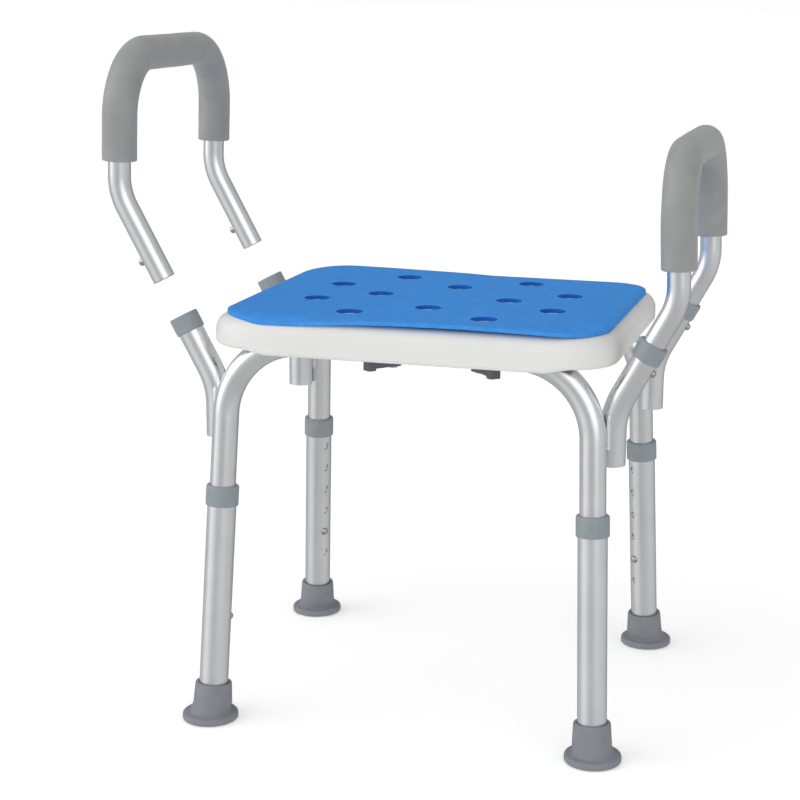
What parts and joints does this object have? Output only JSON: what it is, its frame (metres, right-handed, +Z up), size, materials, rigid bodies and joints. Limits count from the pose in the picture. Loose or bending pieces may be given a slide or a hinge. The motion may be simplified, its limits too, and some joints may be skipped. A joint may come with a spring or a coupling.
{
  "type": "shower stool",
  "caption": "Rectangular padded shower stool on splayed, height-adjustable tube legs, with one foam-gripped armrest fitted and one drawn out of its sockets.",
  "frame": {"origin": "on the floor, midway between the four feet", "axes": "+Z up, +Y to the rear, +X to the right-hand side as seen from the front"},
  "size_m": [0.5855, 0.3908, 0.6692],
  "materials": {
    "seat_plastic": "blow-moulded polyethylene, fine satin",
    "pad_foam": "closed-cell foam sheet, matte",
    "grip_foam": "soft foam sleeve, matte",
    "collar_plastic": "moulded, satin",
    "foot_rubber": "moulded, matte",
    "latch_plastic": "moulded, satin",
    "button_nickel": "polished",
    "spring_steel": "bright strip",
    "screw_steel": "zinc plated",
    "tube_aluminium": "satin anodised"
  },
  "bodies": {
    "stool": {"seat": "seat_plastic", "seat_pad": "pad_foam", "front_frame_tube": "tube_aluminium", "rear_frame_tube": "tube_aluminium", "front_left_arm_socket": "tube_aluminium", "front_left_socket_collar": "collar_plastic", "front_right_arm_socket": "tube_aluminium", "front_right_socket_collar": "collar_plastic", "rear_left_arm_socket": "tube_aluminium", "rear_left_socket_collar": "collar_plastic", "rear_right_arm_socket": "tube_aluminium", "rear_right_socket_collar": "collar_plastic", "socket_weld_beads": "tube_aluminium", "latch_screws": "screw_steel", "front_left_leg_clip": "spring_steel", "front_right_leg_clip": "spring_steel", "rear_left_leg_clip": "spring_steel", "rear_right_leg_clip": "spring_steel"},
    "front_left_leg": {"front_left_leg_tube": "tube_aluminium", "front_left_leg_collar": "collar_plastic", "front_left_foot": "foot_rubber"},
    "front_right_leg": {"front_right_leg_tube": "tube_aluminium", "front_right_leg_collar": "collar_plastic", "front_right_foot": "foot_rubber"},
    "rear_left_leg": {"rear_left_leg_tube": "tube_aluminium", "rear_left_leg_collar": "collar_plastic", "rear_left_foot": "foot_rubber"},
    "rear_right_leg": {"rear_right_leg_tube": "tube_aluminium", "rear_right_leg_collar": "collar_plastic", "rear_right_foot": "foot_rubber"},
    "front_left_leg_button": {"front_left_leg_button": "button_nickel"},
    "front_right_leg_button": {"front_right_leg_button": "button_nickel"},
    "rear_left_leg_button": {"rear_left_leg_button": "button_nickel"},
    "rear_right_leg_button": {"rear_right_leg_button": "button_nickel"},
    "left_armrest": {"left_arm_tube": "tube_aluminium", "left_arm_grip": "grip_foam", "front_left_arm_clip": "spring_steel", "rear_left_arm_clip": "spring_steel"},
    "front_left_arm_button": {"front_left_arm_button": "button_nickel"},
    "rear_left_arm_button": {"rear_left_arm_button": "button_nickel"},
    "right_armrest": {"right_arm_tube": "tube_aluminium", "right_arm_grip": "grip_foam", "front_right_arm_clip": "spring_steel", "rear_right_arm_clip": "spring_steel"},
    "front_right_arm_button": {"front_right_arm_button": "button_nickel"},
    "rear_right_arm_button": {"rear_right_arm_button": "button_nickel"},
    "front_left_seat_latch": {"front_left_seat_latch": "latch_plastic"},
    "front_right_seat_latch": {"front_right_seat_latch": "latch_plastic"},
    "rear_right_seat_latch": {"rear_right_seat_latch": "latch_plastic"},
    "rear_left_seat_latch": {"rear_left_seat_latch": "latch_plastic"}
  },
  "joints": [
    {"name": "front_left_leg_slide", "type": "slide", "parent": "stool", "child": "front_left_leg", "axis": [-0.0381, -0.071, -0.9968], "range_m": [-0.026, 0.104], "deforming": ["front_left_leg_button"]},
    {"name": "front_right_leg_slide", "type": "slide", "parent": "stool", "child": "front_right_leg", "axis": [0.0381, -0.071, -0.9968], "range_m": [-0.026, 0.104], "deforming": ["front_right_leg_button"]},
    {"name": "rear_left_leg_slide", "type": "slide", "parent": "stool", "child": "rear_left_leg", "axis": [-0.0381, 0.071, -0.9968], "range_m": [-0.026, 0.104], "deforming": ["rear_left_leg_button"]},
    {"name": "rear_right_leg_slide", "type": "slide", "parent": "stool", "child": "rear_right_leg", "axis": [0.0381, 0.071, -0.9968], "range_m": [-0.026, 0.104], "deforming": ["rear_right_leg_button"]},
    {"name": "front_left_leg_button_press", "type": "slide", "parent": "stool", "child": "front_left_leg_button", "axis": [0.7063, 0.7037, -0.0771], "range_m": [-0.0045, 0], "stiffness_N_per_m": 1500, "springref_m": 0.0005, "deforming": ["front_left_leg_clip"]},
    {"name": "front_right_leg_button_press", "type": "slide", "parent": "stool", "child": "front_right_leg_button", "axis": [-0.7063, 0.7037, -0.0771], "range_m": [-0.0045, 0], "stiffness_N_per_m": 1500, "springref_m": 0.0005, "deforming": ["front_right_leg_clip"]},
    {"name": "rear_left_leg_button_press", "type": "slide", "parent": "stool", "child": "rear_left_leg_button", "axis": [0.7873, -0.6121, -0.0737], "range_m": [-0.0045, 0], "stiffness_N_per_m": 1500, "springref_m": 0.0005, "deforming": ["rear_left_leg_clip"]},
    {"name": "rear_right_leg_button_press", "type": "slide", "parent": "stool", "child": "rear_right_leg_button", "axis": [-0.5866, -0.8059, -0.0798], "range_m": [-0.0045, 0], "stiffness_N_per_m": 1500, "springref_m": 0.0005, "deforming": ["rear_right_leg_clip"]},
    {"name": "left_armrest_slide", "type": "slide", "parent": "stool", "child": "left_armrest", "axis": [-0.4741, 0, 0.8805], "range_m": [-0.09, 0.03], "deforming": ["front_left_arm_button", "rear_left_arm_button"]},
    {"name": "front_left_arm_button_press", "type": "slide", "parent": "left_armrest", "child": "front_left_arm_button", "axis": [-0.8805, 0, -0.4741], "range_m": [-0.005, 0], "stiffness_N_per_m": 1500, "springref_m": 0.0005, "deforming": ["front_left_arm_clip"]},
    {"name": "rear_left_arm_button_press", "type": "slide", "parent": "left_armrest", "child": "rear_left_arm_button", "axis": [-0.8805, 0, -0.4741], "range_m": [-0.005, 0], "stiffness_N_per_m": 1500, "springref_m": 0.0005, "deforming": ["rear_left_arm_clip"]},
    {"name": "right_armrest_slide", "type": "slide", "parent": "stool", "child": "right_armrest", "axis": [0.4741, 0, 0.8805], "range_m": [0, 0.12], "deforming": ["front_right_arm_button", "rear_right_arm_button"]},
    {"name": "front_right_arm_button_press", "type": "slide", "parent": "right_armrest", "child": "front_right_arm_button", "axis": [0.8805, 0, -0.4741], "range_m": [-0.005, 0], "stiffness_N_per_m": 1500, "springref_m": 0.0005, "deforming": ["front_right_arm_clip"]},
    {"name": "rear_right_arm_button_press", "type": "slide", "parent": "right_armrest", "child": "rear_right_arm_button", "axis": [0.8805, 0, -0.4741], "range_m": [-0.005, 0], "stiffness_N_per_m": 1500, "springref_m": 0.0005, "deforming": ["rear_right_arm_clip"]},
    {"name": "front_left_seat_latch_turn", "type": "hinge", "parent": "stool", "child": "front_left_seat_latch", "pos_m": [-0.022, -0.112, 0.3625], "axis": [0, 0, 1], "range_deg": [-52, 38]},
    {"name": "front_right_seat_latch_turn", "type": "hinge", "parent": "stool", "child": "front_right_seat_latch", "pos_m": [0.065, -0.112, 0.3625], "axis": [0, 0, 1], "range_deg": [-42, 48]},
    {"name": "rear_right_seat_latch_turn", "type": "hinge", "parent": "stool", "child": "rear_right_seat_latch", "pos_m": [0.022, 0.112, 0.3625], "axis": [0, 0, 1], "range_deg": [-52, 38]},
    {"name": "rear_left_seat_latch_turn", "type": "hinge", "parent": "stool", "child": "rear_left_seat_latch", "pos_m": [-0.065, 0.112, 0.3625], "axis": [0, 0, 1], "range_deg": [-42, 48]}
  ]
}
